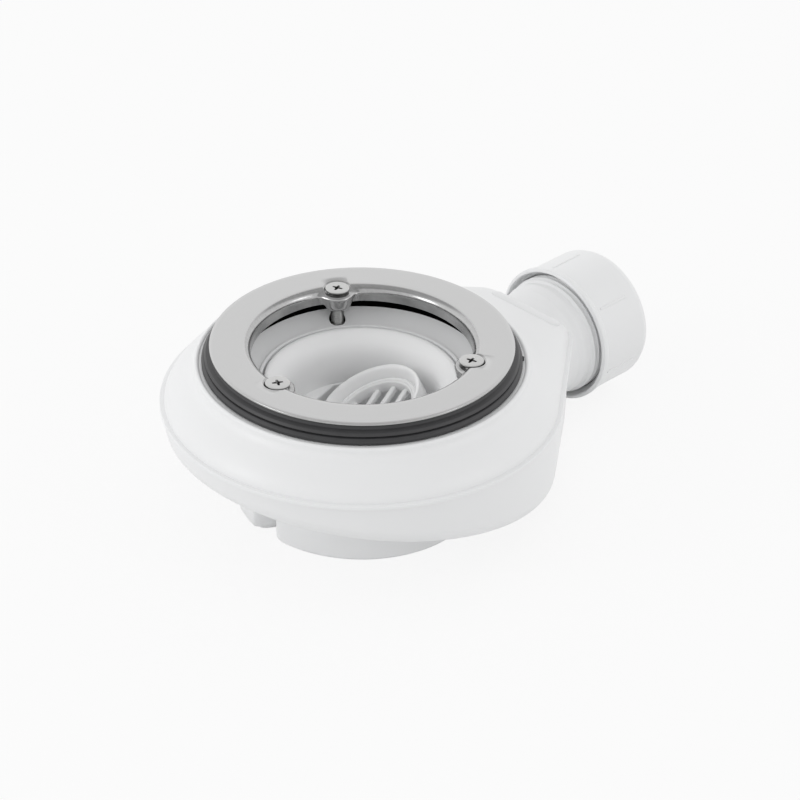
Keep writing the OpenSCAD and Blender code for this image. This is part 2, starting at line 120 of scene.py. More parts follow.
# Trap cup and hair grille
cup_r = cup_high.x
cup_rim = cup_high.z
tube_r = 27.5
tube_wall = 2
ledge_z = cup_rim - 18.8
ledge_in = 22.5
grille_turn = math.radians(-33)
slat_turn = math.radians(47)
grille_tilt = math.radians(25)
grille_r = 20.6
grille_h = 8.7
grille_open = 15.3
grille_middle = (2.6, 0, cup_rim - 11)

# Outlet
neck_r = 21.8
neck_start = arm_end - wall - 0.4
bore_r = 18.2
thread_r = 23.9
thread_start = 103
spigot_end = 123
socket_z = 103
pipe_r = 20.4


class Value:
    """An output of a node; arithmetic on it adds Math nodes to its finish"""

    def __init__(self, finish, socket):
        self.finish = finish
        self.socket = socket

    def math(self, operation, *values):
        return self.finish.add("ShaderNodeMath", {"operation": operation}, dict(enumerate(values)))["Value"]

    def __add__(self, other):
        return self.math("ADD", self, other)

    def __sub__(self, other):
        return self.math("SUBTRACT", self, other)

    def __rsub__(self, other):
        return self.math("SUBTRACT", other, self)

    def __mul__(self, other):
        return self.math("MULTIPLY", self, other)

    def above(self, least):
        return self.math("MAXIMUM", self, least)

    def clamped(self):
        return self.finish.add("ShaderNodeClamp", {}, {"Value": self})["Result"]

    __radd__ = __add__
    __rmul__ = __mul__


class Added:
    """A node, whose outputs are read by name"""

    def __init__(self, finish, node):
        self.finish = finish
        self.node = node

    def __getitem__(self, name):
        return Value(self.finish, self.node.outputs[name])


class Nodes:
    """A node tree, built node by node"""

    def __init__(self, tree):
        self.tree = tree
        tree.nodes.clear()

    def add(self, kind, settings=None, inputs=None):
        node = self.tree.nodes.new(kind)
        for key, value in (settings or {}).items():
            if key == "stops":
                ramp = node.color_ramp.elements
                while len(ramp) < len(value):
                    ramp.new(0.5)
                for element, (position, colour) in zip(ramp, value):
                    element.position = position
                    element.color = (*colour, 1)
            else:
                setattr(node, key, value)
        for key, value in (inputs or {}).items():
            if isinstance(value, Value):
                self.tree.links.new(value.socket, node.inputs[key])
            else:
                node.inputs[key].default_value = value
        return Added(self, node)


class Finish(Nodes):
    """A material with one shader"""

    def __init__(self, name):
        self.material = bpy.data.materials.new(name)
        self.material.use_nodes = True
        super().__init__(self.material.node_tree)
        self.place = self.add("ShaderNodeTexCoord")["Object"]

    def noise(self, scale, detail=2.0, roughness=0.5, place=None):
        """Smooth noise from 0 to 1; scale is in cells per metre"""
        return self.add("ShaderNodeTexNoise", {"noise_dimensions": "3D"},
                        {"Vector": place or self.place, "Scale": scale, "Detail": detail,
                         "Roughness": roughness})["Fac"]

    def stretched(self, scale):
        """The place of a point, with each axis scaled on its own"""
        return self.add("ShaderNodeVectorMath", {"operation": "MULTIPLY"},
                        {0: self.place, 1: scale})["Vector"]

    def between(self, factor, dark, light):
        """A colour from dark to light, which are colours or outputs of nodes"""
        ends = [end if isinstance(end, Value) else (*end, 1) for end in (dark, light)]
        return self.add("ShaderNodeMix", {"data_type": "RGBA"}, {"Factor": factor, 6: ends[0], 7: ends[1]})[2]

    def bump(self, height, depth):
        """A normal from a height between 0 and 1, and its depth in millimetres"""
        return self.add("ShaderNodeBump", {}, {"Height": height, "Strength": 1.0,
                                               "Distance": depth * MM})["Normal"]

    def shader(self, **inputs):
        sockets = {key.replace("_", " "): value for key, value in inputs.items()}
        shader = self.add("ShaderNodeBsdfPrincipled", {}, sockets)
        self.add("ShaderNodeOutputMaterial", {}, {"Surface": shader["BSDF"]})
        return self.material


def moulded_plastic(name, tone, roughness, grain):
    """Satin white moulded plastic: a fine skin, slow waves from cooling and faint uneven gloss"""
    finish = Finish(name)
    skin = finish.noise(2600, 3, 0.6)
    wave = finish.noise(45, 2, 0.5)
    patch = finish.noise(18, 2, 0.5)
    colour = finish.between(patch * 0.6 + skin * 0.4, [c * 0.97 for c in tone], tone)
    height = skin * grain + wave * 0.6
    return finish.shader(Base_Color=colour, Roughness=patch * 0.08 + skin * 0.06 + (roughness - 0.07),
                         Normal=finish.bump(height, 0.03), Specular_IOR_Level=0.45)


def satin_steel(name, tone, roughness, grain, face, shade_shares=(0.48, 0.74), depth=9):
    """Stainless: a fine satin grain and cloudy marks on its face; below the face it is smoother where drawn, and
    painted darker there as shade of recesses and of the dark insides it reflects
    """
    finish = Finish(name)
    grit = finish.noise(5200, 3, 0.65)
    streak = finish.noise(900, 3, 0.6, finish.stretched((1.0, 0.12, 1.0)))
    cloud = finish.noise(70, 3, 0.55)
    height = finish.add("ShaderNodeSeparateXYZ", {}, {0: finish.place})["Z"]
    # Mask below the face: it makes the drawn steel smoother and carries the painted shade
    drawn_and_shaded = ((face * MM - height) * 6000 - 0.2).clamped() * ((height - (face - depth) * MM) * 4000).clamped()
    satin = finish.between(grit * 0.5 + cloud * 0.5, [c * 0.88 for c in tone], tone)
    # Painted shade: streaked steel at a lower share of its tone below the face
    painted_shade_colour = finish.between(streak * 0.7 + cloud * 0.3, *([c * share for c in tone] for share in shade_shares))
    return finish.shader(Base_Color=finish.between(drawn_and_shaded, satin, painted_shade_colour), Metallic=1.0,
                         Roughness=grit * 0.14 + cloud * 0.08 + (roughness - 0.11) - drawn_and_shaded * 0.13,
                         Normal=finish.bump(grit * 0.7 + streak * 0.3, grain))


def black_rubber(name):
    """Black seal rubber: skin with faint dust and mould lines; near the drain axis it is a dull near-black, painted
    shade of the dark gap under the ring
    """
    finish = Finish(name)
    skin = finish.noise(1800, 3, 0.6)
    dust = finish.noise(120, 4, 0.65)
    colour = finish.between(dust * 0.6 + skin * 0.4, (0.020, 0.020, 0.021), (0.056, 0.056, 0.059))
    reach = finish.add("ShaderNodeVectorMath", {"operation": "LENGTH"}, {0: finish.stretched((1, 1, 0))})["Value"]
    # Painted shade: seal faces within about 48.6 mm of the drain axis, and the hole liners, turn to a dull near-black
    inner = ((48.6 * MM - reach) * 4000).clamped()
    outside = finish.add("ShaderNodeBsdfPrincipled", {}, {
        "Base Color": colour, "Roughness": skin * 0.2 + dust * 0.15 + 0.28, "Specular IOR Level": 0.5,
        "Normal": finish.bump(skin + dust * 0.5, 0.03)})
    painted_black_shade = finish.add("ShaderNodeBsdfDiffuse", {}, {"Color": (0.0015, 0.0015, 0.0015, 1)})
    mixed = finish.add("ShaderNodeMixShader", {}, {0: inner, 1: outside["BSDF"], 2: painted_black_shade["BSDF"]})
    finish.add("ShaderNodeOutputMaterial", {}, {"Surface": mixed["Shader"]})
    return finish.material


def turned_brass(name):
    """Brass with turning marks"""
    finish = Finish(name)
    marks = finish.noise(900, 2, 0.5, finish.stretched((0.2, 0.2, 3.0)))
    tarnish = finish.noise(300, 3, 0.6)
    colour = finish.between(tarnish, (0.42, 0.28, 0.10), (0.72, 0.52, 0.22))
    return finish.shader(Base_Color=colour, Metallic=1.0, Roughness=tarnish * 0.2 + 0.25,
                         Normal=finish.bump(marks, 0.02))


white = (0.84, 0.845, 0.85)
plastic = moulded_plastic("moulded plastic", white, 0.36, 0.35)
# Cup and basket: lighter copies of the white plastic, painted light for the dim inside of the drain
cup_plastic = moulded_plastic("cup plastic", (0.92, 0.923, 0.926), 0.42, 0.7)
basket_plastic = moulded_plastic("basket plastic", (0.95, 0.952, 0.954), 0.40, 0.6)
nut_plastic = moulded_plastic("nut plastic", (0.84, 0.845, 0.85), 0.30, 0.3)
# Ring: the rolled edge, collar and pockets below its face get painted shade at 0.52 to 0.82 of the tone
ring_steel = satin_steel("satin sheet steel", (0.635, 0.635, 0.635), 0.32, 0.02, top, (0.52, 0.82))
# Screws: the cross recess and the head's side, 2.6 mm down from its top, get painted shade at 0.2 to 0.4 of the tone
screw_steel = satin_steel("screw steel", (0.66, 0.66, 0.655), 0.34, 0.06, screw_boxes[0][1].z, (0.2, 0.4), 2.6)
rubber = black_rubber("seal rubber")
brass = turned_brass("turned brass")


def around(steps=FINE):
    """Even angles round an axis"""
    return [2 * math.pi * i / steps for i in range(steps)]


def angles_with(dense, coarse_step, fine_step, reach):
    """Angles round the drain axis in degrees turned to radians, closer together near the dense ones"""
    degrees = set()
    angle = 0.0
    while angle < 360 - 1e-6:
        near = any(abs((angle - d + 180) % 360 - 180) < reach for d in dense)
        degrees.add(round(angle, 4))
        angle += fine_step if near else coarse_step
    return [math.radians(a) for a in sorted(degrees)]


def rounded(points, steps=5):
    """Section points (a, b) or (a, b, radius); a corner that has a radius becomes a curve"""
    result = []
    for i, point in enumerate(points):
        corner = Vector(point[:2])
        if len(point) < 3:
            result.append(tuple(corner))
            continue
        before = (Vector(points[i - 1][:2]) - corner).normalized()
        after = (Vector(points[(i + 1) % len(points)][:2]) - corner).normalized()
        half = before.angle(after) / 2
        reach = point[2] / math.tan(half)
        start, end = corner + before * reach, corner + after * reach
        for k in range(steps + 1):
            t = k / steps
            result.append(tuple(start * (1 - t) ** 2 + corner * 2 * t * (1 - t) + end * t * t))
    return result


def arc(x, y, r, start, end, steps=8):
    """Points on an arc, angles in degrees"""
    turns = [math.radians(start + (end - start) * i / steps) for i in range(steps + 1)]
    return [(x + r * math.cos(a), y + r * math.sin(a)) for a in turns]


def turned_rows(section, angles):
    """Rings of points for a section of (radius, height) turned about the Z axis"""
    return [[Vector((r * math.cos(a), r * math.sin(a), z)) for a in angles] if r > 1e-6
            else [Vector((0, 0, z))] for r, z in section]


def add_piece(name, points, faces, material, slot, replaced=(), sharp=38):
    """A mesh of this object from points in millimetres, riding on the root body"""
    mesh = bpy.data.meshes.new(name)
    mesh.from_pydata([Vector(p) * MM for p in points], [], faces)
    piece = bpy.data.objects.new(name, mesh)
    bpy.context.scene.collection.objects.link(piece)
    tidy_mesh(piece, material, sharp)
    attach(piece, "root")
    if replaced:
        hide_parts(*replaced)
    return piece


def tidy_mesh(piece, material, sharp):
    """Joined points, outward faces, smooth shading with sharp edges, and one material"""
    shape = bmesh.new()
    shape.from_mesh(piece.data)
    bmesh.ops.remove_doubles(shape, verts=shape.verts, dist=0.002 * MM)
    bmesh.ops.recalc_face_normals(shape, faces=shape.faces)
    shape.to_mesh(piece.data)
    shape.free()
    piece.data.materials.clear()
    piece.data.materials.append(material)
    piece.data.shade_smooth()
    piece.data.set_sharp_from_angle(angle=math.radians(sharp))


def skin(rows, closed=True):
    """Points and faces over rings of points; a ring of one point is a pole"""
    points, faces, starts = [], [], []
    for row in rows:
        starts.append(len(points))
        points.extend(row)
    pairs = list(zip(range(len(rows)), range(1, len(rows))))
    if closed:
        pairs.append((len(rows) - 1, 0))
    for a, b in pairs:
        na, nb = len(rows[a]), len(rows[b])
        for i in range(max(na, nb)):
            j = i + 1
            corners = [starts[a] + i % na, starts[a] + j % na, starts[b] + j % nb, starts[b] + i % nb]
            face = list(dict.fromkeys(corners))
            if len(face) > 2:
                faces.append(face)
    return points, faces


def placed(rows, matrix):
    return [[matrix @ p for p in row] for row in rows]


def turned_piece(name, section, material, slot, replaced=(), matrix=Matrix.Identity(4), steps=FINE, closed=True):
    rows = placed(turned_rows(section, around(steps)), matrix)
    return add_piece(name, *skin(rows, closed), material, slot, replaced)


def tool_shape(section, matrix=Matrix.Identity(4), steps=64):
    """A turned shape that only cuts others"""
    points, faces = skin(placed(turned_rows(section, around(steps)), matrix), closed=False)
    mesh = bpy.data.meshes.new("tool")
    mesh.from_pydata([Vector(p) * MM for p in points], [], faces)
    tool = bpy.data.objects.new("tool", mesh)
    bpy.context.scene.collection.objects.link(tool)
    shape = bmesh.new()
    shape.from_mesh(mesh)
    bmesh.ops.recalc_face_normals(shape, faces=shape.faces)
    shape.to_mesh(mesh)
    shape.free()
    return tool


def cut(piece, tools, sharp=38):
    """Takes the tools' shapes out of a piece"""
    material = piece.data.materials[0]
    for tool in tools:
        step = piece.modifiers.new("cut", "BOOLEAN")
        step.solver = "EXACT"
        step.operation = "DIFFERENCE"
        step.object = tool
    graph = bpy.context.evaluated_depsgraph_get()
    piece_mesh = bpy.data.meshes.new_from_object(piece.evaluated_get(graph))
    piece.modifiers.clear()
    piece.data = piece_mesh
    for tool in tools:
        bpy.data.objects.remove(tool)
    tidy_mesh(piece, material, sharp)


def on_outlet(x=0):
    """Turns the Z axis of a section to the outlet's axis"""
    return Matrix.Translation((x, 0, outlet_z)) @ Matrix.Rotation(math.pi / 2, 4, "Y")


def at_screw(i):
    place = screw_places[i]
    return Matrix.Translation((place.x, place.y, 0)) @ Matrix.Rotation(screw_angles[i], 4, "Z")


# Plan outline of the two shells

def outline(angles, circle, corner, half=arm_half - arm_corner, lean=0.0):
    """Distance from the drain axis to the hull of a circle and the arm's two corners"""
    way = np.array(angles)[:, None]
    side = np.linspace(-math.pi, math.pi, 3600, endpoint=False)[None, :]
    reach = np.full_like(side, circle)
    for y in (half, -half):
        reach = np.maximum(reach, (arm_end - arm_corner) * np.cos(side) + (y - lean) * np.sin(side) + corner)
    facing = np.cos(side - way)
    distance = np.where(facing > 0.05, reach / np.maximum(facing, 0.05), 1e9)
    return distance.min(axis=1)


def ring_points(angles, radii, heights):
    radii = np.broadcast_to(radii, (len(angles),))
    heights = np.broadcast_to(heights, (len(angles),))
    return [Vector((r * math.cos(a), r * math.sin(a), z)) for a, r, z in zip(angles, radii, heights)]


def disc_points(x, y, r, z, steps):
    return [Vector((x + r * math.cos(a), y + r * math.sin(a), z)) for a in around(steps)]


def form_points(inset, below=5):
    """Points whose hull is the outer form of the upper shell, or its hollow; it goes on below the weld"""
    points = disc_points(0, 0, body_r - inset, weld_z - below, 360)
    for side in (-1, 1):
        points += disc_points(arm_end - arm_corner, side * (arm_half - arm_corner), arm_corner - inset,
                              weld_z - below, 72)
    for k in range(25):
        rise = k / 24
        points += disc_points(0, 0, body_r - inset - shoulder_in * rise ** 1.6,
                              weld_z + rise * (dip_z - weld_z) - (inset if k else 0), 360)
    for k in range(11):
        turn = math.radians(9 * k)
        level = 1 - math.cos(turn)
        for side in (-1, 1):
            y = side * (arm_half - arm_corner - level * arm_taper) - level * arm_lean
            points += disc_points(arm_end - arm_corner, y, arm_corner - inset - edge_round * level,
                                  weld_z + arm_rise * math.sin(turn) - (inset if k else 0), 72)
    return points


def hull_tree(points):
    shape = bmesh.new()
    for point in points:
        shape.verts.new(point)
    bmesh.ops.convex_hull(shape, input=shape.verts)
    bmesh.ops.recalc_face_normals(shape, faces=shape.faces)
    tree = BVHTree.FromBMesh(shape)
    shape.free()
    return tree


def cast_row(tree, angles, start_r, lift, limit):
    """One ring of points where rays that rise by lift meet the hull; none lies inside the limit"""
    row = []
    for a in angles:
        out = Vector((math.cos(a), math.sin(a), 0))
        way = (out * math.cos(lift) + Vector((0, 0, math.sin(lift)))).normalized()
        hit = tree.ray_cast(out * start_r + Vector((0, 0, limit)), way)[0]
        row.append(hit)
    return row


def upper_moulding():
    """Upper shell: shoulder and arm, crest, seats of the seals, mouth and sleeve"""
    angles = angles_with([0], 1.0, 0.5, 27)
    start_r = 55
    outer, inner = hull_tree(form_points(0)), hull_tree(form_points(wall))
    lifts = [0.35 + k for k in range(13)] + [14.5, 17, 20, 23.5, 27.5, 32, 36.5, 41, 45, 48.5]
    rows = [ring_points(angles, outline(angles, body_r, arm_corner), weld_z)]
    rows += [cast_row(outer, angles, start_r, math.radians(lift), weld_z) for lift in lifts]
    last = rows[-1]
    corner = Vector((62.4, dip_z + 0.1))
    crest = Vector((62.35, seat_z - 0.6))
    for k in range(1, 7):
        t = k / 6
        row = []
        for a, point in zip(angles, last):
            start = Vector((math.hypot(point.x, point.y), point.z))
            r, z = start * (1 - t) ** 2 + corner * 2 * t * (1 - t) + crest * t * t
            row.append(Vector((r * math.cos(a), r * math.sin(a), z)))
        rows.append(row)
    section = arc(61.3, seat_z - 0.5, 1.05, 10, 150, 9)
    section += rounded([
        (seat_r, seat_z), (step_r, seat_z, 0.3), (step_r, step_z, 0.3), *dish_section(),
        (sleeve_r, sleeve_seat, 0.3), (throat_r, sleeve_seat, 0.4),
        (throat_r, throat_z, 0.3), (throat_r + 2.2, throat_z, 0.3), (throat_r + 2.2, sleeve_seat - 2.2, 0.5),
        (sleeve_r + wall, sleeve_seat - 2.2, 0.5), (sleeve_r + wall, sleeve_top - 2.8, 0.8),
        (dish_r, step_z - 2.7, 0.8), (step_r, step_z - wall, 0.5), (step_r + wall, dip_z - wall, 0.5),
        (seat_r - 3, dip_z - wall)])
    rows += turned_rows(section, angles)
    for lift in (44, 36, 28, 20, 12, 6, 2):
        rows.append(cast_row(inner, angles, start_r, math.radians(lift), weld_z))
    rows.append(ring_points(angles, outline(angles, body_r - wall, arm_corner - wall), weld_z))
    shell = add_piece("upper_moulding", *skin(rows), plastic, "body", ["upper_shell"])
    bore = [(0, 36), (3.15, 36), (3.15, step_z + 3), (0, step_z + 3)]
    cut(shell, [tool_shape(bore, at_screw(i), 64) for i in range(3)] + [neck_tool()])
    return shell


def dish_section():
    """Hollow that falls from the seals to the sleeve's rounded lip"""
    falls = [(0, 0), (0.5, 0.5), (1.8, 1.65), (3.4, 2.8), (5.1, 3.5), (6.4, 3.85), (6.95, 3.9)]
    dish = [(dish_r - inward, step_z - down) for inward, down in falls]
    return dish + [(sleeve_r + 1.0, sleeve_top + 0.2), (sleeve_r + 0.45, sleeve_top + 0.15),
                   (sleeve_r + 0.12, sleeve_top), (sleeve_r, sleeve_top - 0.35)]


def neck_tool():
    start = neck_start + 0.1
    return tool_shape([(0, start), (neck_r + 0.02, start), (neck_r + 0.02, 96), (0, 96)], on_outlet(), 128)


def screw_bosses():
    """Three bosses under the seat that hold the threaded inserts"""
    insert_z = insert_low.z
    skin_t = 1.1
    core = [(0, 30), (sleeve_r + 1.2, 30), (sleeve_r + 1.2, sleeve_top - skin_t)]
    core += [(r, z - skin_t) for r, z in reversed(dish_section()[:6])] + [(60, step_z - skin_t), (60, 62), (0, 62)]
    for i in range(3):
        section = rounded([(3.15, step_z - 0.5), (5.95, step_z - 0.5, 0.3), (5.95, 39.5, 0.8),
                           (0, 39.5), (0, 40.9), (2.25, 40.9), (2.25, insert_z), (3.15, insert_z)])
        boss = turned_piece(f"screw_boss_{i + 1}", section, plastic, "body", matrix=at_screw(i), steps=64)
        cut(boss, [tool_shape(core, steps=FINE)])


def screw_hole_shades():
    """Thin black liners in the screw holes, flush with the dish: painted shade that makes the holes read as black"""
    above = [(0, step_z - 3.95)] + list(reversed(dish_section()[:7])) + [(60, step_z), (60, 70), (0, 70)]
    low = insert_high.z + 0.1
    for i in range(3):
        section = [(3.13, step_z - 0.3), (3.13, low), (2.85, low), (2.85, step_z - 0.3)]
        # Painted shade: a near-black sleeve where the hole is only dark
        liner = turned_piece(f"screw_hole_shade_{i + 1}", section, rubber, "seal", matrix=at_screw(i), steps=64)
        cut(liner, [tool_shape(above, steps=FINE)])


def arm_lip():
    """Raised strip along the arm's top edge, with rounded ends"""
    start, end, middle_x, middle_z = 12.2, -22.5, 83.1, weld_z + arm_rise + 0.35
    half_w, rise = 2.6, 1.3
    steps_long, steps_round = 60, 24
    rows = []
    for k in range(steps_long + 1):
        along = k / steps_long
        from_end = min(start - end - 0.001, (start - end) * min(along, 1 - along)) + 0.02
        taper = math.sqrt(1 - (1 - min(1, from_end / half_w)) ** 2)
        row = []
        for a in around(steps_round):
            out, up = (math.copysign(abs(v) ** 0.7, v) for v in (math.cos(a), math.sin(a)))
            row.append(Vector((middle_x + half_w * out * taper, start + (end - start) * along,
                               middle_z + rise * up * (0.55 + 0.45 * taper))))
        rows.append(row)
    rows.insert(0, [sum(rows[0], Vector()) / steps_round])
    rows.append([sum(rows[-1], Vector()) / steps_round])
    add_piece("arm_lip", *skin(rows, closed=False), plastic, "body")


def smooth_step(value, low, high):
    t = np.clip((value - low) / (high - low), 0, 1)
    return t * t * (3 - 2 * t)


def under_at(radii, angles, lift=0.0):
    return under_z - radii * np.cos(np.array(angles)) * under_slope + lift


def lower_moulding():
    """Lower shell: rim band, sloping underside, sump with its notch and foot, gallery and weir"""
    angles = angles_with([0, 172], 1.25, 0.5, 27)
    soft = math.radians(3.5)
    opened = smooth_step(np.array(angles), notch_from - soft, notch_from + soft)
    notch = opened * (1 - np.clip((np.array(angles) - notch_to) / notch_fillet, 0, 1)) ** 3
    foot = smooth_step(np.array(angles), foot_from - 0.02, foot_from + 0.02) * (1 - opened)
    wall_top = sump_r + foot_out * foot - notch_depth * notch
    wall_low = sump_r - sump_draft - notch_depth * notch + foot_out * foot
    wall_foot = sump_r - sump_draft - notch_depth * notch

    def ring(radii, heights):
        return ring_points(angles, radii, heights)

    edge = 1.3
    rows = [[Vector((0, 0, 0))], ring(wall_foot * 0.5, 0), ring(wall_foot - 2.2, 0)]
    rows += [ring(wall_foot - edge + edge * math.sin(t), edge - edge * math.cos(t)) for t in (0.3, 0.7, 1.1, 1.57)]
    rows += [ring(wall_foot + 0.3 * foot, foot_lift - 0.05), ring(wall_low - 1.0 * foot, foot_lift + 0.1),
             ring(wall_low - 0.3 * foot, foot_lift + 0.4), ring(wall_low, foot_lift + 1.0)]
    floor_at = under_at(wall_top, angles)
    for share in (0.25, 0.5, 0.75):
        rows.append(ring(wall_low + (wall_top - wall_low) * share,
                         foot_lift + 1 + (floor_at - foot_lift - 1) * share))
    for turn in (0, 22.5, 45, 67.5, 90):
        t = math.radians(turn)
        radii = wall_top + 1.2 * (1 - math.cos(t))
        rows.append(ring(radii, under_at(radii, angles, -1.2 * (1 - math.sin(t)))))
    edge = outline(angles, body_r + skirt_out - 6.4, arm_corner + skirt_out - 6.4)
    start = wall_top + 1.2
    for share in (0.3, 0.65):
        radii = start + (edge - start) * share
        rows.append(ring(radii, under_at(radii, angles)))
    for k in range(11):
        t = math.radians(90 - 9 * k)
        inset = 0.8 + under_round * 0.8 * (1 - math.cos(t)) - skirt_out
        radii = outline(angles, body_r - inset, arm_corner - inset)
        rows.append(ring(radii, under_at(radii, angles, under_round * (1 - math.sin(t)))))
    last = under_at(radii, angles, under_round)
    side = outline(angles, body_r + skirt_out, arm_corner + skirt_out)
    band_z = weld_z - rim_h
    for share in (0.3, 0.6, 0.9):
        rows.append(ring(radii + (side - radii) * share, last + (band_z - last) * share))
    rows.append(ring(side, band_z))
    band = outline(angles, body_r + rim_out, arm_corner + rim_out)
    rows += [ring(band - 0.25, band_z), ring(band, band_z + 0.25), ring(band, weld_z - 0.3),
             ring(band - 0.1, weld_z - 0.1), ring(band - 0.3, weld_z)]
    inner = outline(angles, body_r + skirt_out - wall, arm_corner + skirt_out - wall)
    rows += [ring(inner, weld_z), ring(inner, band_z)]
    for k in range(7):
        t = math.radians(15 * k)
        inset = wall + 0.8 + under_round * 0.6 * (1 - math.cos(t)) - skirt_out
        radii = outline(angles, body_r - inset, arm_corner - inset)
        rows.append(ring(radii, under_at(radii, angles, wall + under_round * (1 - math.sin(t)))))
    weir_out = sump_in + weir_t
    rows += [ring(weir_out, under_at(weir_out, angles, wall)), ring(weir_out, weir_z - 0.6),
             ring(weir_out - 0.5, weir_z), ring(sump_in + 0.4, weir_z), ring(sump_in, weir_z - 0.4)]
    inside = sump_in - 6.6 * notch
    rows += [ring(inside, sump_floor + 1), ring(inside - 1, sump_floor), [Vector((0, 0, sump_floor))]]
    shell = add_piece("lower_moulding", *skin(rows, closed=False), plastic, "body", ["lower_shell"])
    cut(shell, [neck_tool()])


def threaded_rows(r_root, depth, pitch, start, end, steps, per_turn=10):
    """Rings of points of an outside thread that fades out at both ends"""
    rows = []
    count = int((end - start) / pitch * per_turn)
    for k in range(count + 1):
        z = start + (end - start) * k / count
        fade = min(1, (z - start) / pitch, (end - z) / pitch)
        row = []
        for a in around(steps):
            phase = (z / pitch - a / (2 * math.pi)) % 1
            crest = min(1, max(0, 1.25 - abs(phase - 0.5) * 3.2))
            r = r_root + depth * crest * fade
            row.append(Vector((r * math.cos(a), r * math.sin(a), z)))
        rows.append(row)
    return rows


def outlet_neck():
    """Neck, thread and socket of the outlet"""
    root = thread_r - 1.2
    section = rounded([(bore_r, neck_start), (neck_r, neck_start),
                       (neck_r, thread_start - 5.5, 3), (root + 0.2, thread_start - 2.5, 1.4), (root, thread_start - 1)],
                      8)
    rows = placed(turned_rows(section, around(128)), on_outlet())
    rows += placed(threaded_rows(root, 1.2, 2.31, thread_start - 0.6, spigot_end - 1, 128), on_outlet())
    end = rounded([(root, spigot_end - 0.6), (root - 0.6, spigot_end), (pipe_r, spigot_end, 0.3),
                   (pipe_r, socket_z, 0.2), (bore_r, socket_z, 0.2)])
    rows += placed(turned_rows(end, around(128)), on_outlet())
    add_piece("outlet_neck", *skin(rows), plastic, "body")


def pressed_ring():
    """Sheet steel ring with a rolled inner edge, a collar and a pressed pocket round each screw"""
    centres = [math.degrees(a) for a in screw_angles]
    angles = np.array(angles_with(centres, 1.0, 0.2, 14))
    across = np.min([np.abs((np.degrees(angles) - c + 180) % 360 - 180) for c in centres], axis=0)
    collar_in = collar_r - sheet
    bend, crest, sunk, flare = 2.8, 1.3, 1.6, 2.2
    flat_in = collar_in + bend

    def contour(offset, pocket):
        """Distance from the axis at which the sheet stands off the collar's inner face by an offset"""
        low, high = np.full(len(angles), 25.0), np.full(len(angles), 56.0)
        for _ in range(40):
            r = (low + high) / 2
            lobes = np.max([pocket - np.hypot(r * np.cos(angles) - p.x, r * np.sin(angles) - p.y)
                            for p in screw_places], axis=0)
            plain = r - collar_in
            both = (plain + lobes + np.sqrt((plain - lobes) ** 2 + flare ** 2)) / 2
            inside = both < offset
            low, high = np.where(inside, r, low), np.where(inside, high, r)
        return (low + high) / 2

    def fall(over, radius):
        """How far a rounded edge has dropped, from its distance past the flat"""
        return radius - np.sqrt(np.maximum(radius ** 2 - np.clip(over, 0, radius) ** 2, 0))

    def drop(radii, offset, rolled, edge):
        """Drop below the flat: the rolled edge, but in a pocket only its sunk floor and its crest"""
        roll = fall(flat_in - radii, rolled) + np.maximum(flat_in - radii - rolled, 0) * 4
        floor = sunk + fall(edge - offset, edge)
        return (roll + floor - np.sqrt((roll - floor) ** 2 + 0.12)) / 2 + 0.03

    def ring(radii, height):
        return ring_points(angles, radii, height)

    pocket_top, pocket_low = 6.0, 4.9
    rows = [ring(ring_r - 0.25, ring_under), ring(ring_r, ring_under + 0.25), ring(ring_r, top - 0.3),
            ring(ring_r - 0.09, top - 0.09), ring(ring_r - 0.3, top), ring(ring_r - 1.5, top),
            ring(50, top), ring(flat_in + 0.9, top)]
    inner = contour(bend, pocket_top)
    for past in (0, 0.7, 1.3, 1.8, 2.2, 2.5, 2.8, 3.4):
        radii = np.maximum(inner, flat_in - past)
        rows.append(ring(radii, top - np.minimum(drop(radii, bend, bend, crest), bend)))
    for turn in range(0, 91, 9):
        offset = bend * (1 - math.sin(math.radians(turn)))
        radii = contour(offset, pocket_top)
        rows.append(ring(radii, top - np.minimum(drop(radii, offset, bend, crest), bend)))
    collar_low, pocket_base = top - 6.1, ring_low.z
    wall_low = collar_low + (pocket_base - collar_low) * (1 - smooth_step(across, 5.6, 8.2))
    wall_top = top - bend
    shares = (0.15, 0.3, 0.45, 0.6, 0.72, 0.84, 0.93, 1)
    taper = [pocket_top + (pocket_low - pocket_top) * share - 0.5 * max(0, share - 0.7) ** 2 / 0.09
             for share in shares]
    for share, pocket in zip(shares, taper):
        rows.append(ring(contour(0, pocket), wall_top + (wall_low + 0.1 - wall_top) * share))
    rows += [ring(contour(0.12, taper[-1]), wall_low), ring(contour(sheet - 0.12, taper[-1]), wall_low)]
    for share, pocket in reversed(list(zip(shares, taper))):
        rows.append(ring(contour(sheet, pocket), wall_top + (wall_low + 0.1 - wall_top) * share))
    for turn in range(90, -1, -15):
        offset = sheet + (bend - sheet) * (1 - math.sin(math.radians(turn)))
        radii = contour(offset, pocket_top)
        rows.append(ring(radii, ring_under - np.minimum(drop(radii, offset - sheet, bend - sheet, 0.3), 1.9)))
    outer = contour(bend, pocket_top)
    for past in (1.6, 1.1, 0.5, 0):
        radii = np.maximum(outer, flat_in - past)
        rows.append(ring(radii, ring_under - np.minimum(drop(radii, bend, bend - sheet, 0.3), 1.9)))
    rows.append(ring(flat_in + 0.9, ring_under))
    add = add_piece("pressed_ring", *skin(rows), ring_steel, "ring", ["clamping_ring"], sharp=50)
    sink = [(0, top - 9), (2.3, top - 9), (2.3, top - 2.75), (4.3, top - 1.0), (4.95, top - 0.7), (5.6, top + 0.02), (5.6, top + 1),
            (0, top + 1)]
    cut(add, [tool_shape(sink, at_screw(i), 96) for i in range(3)], sharp=50)


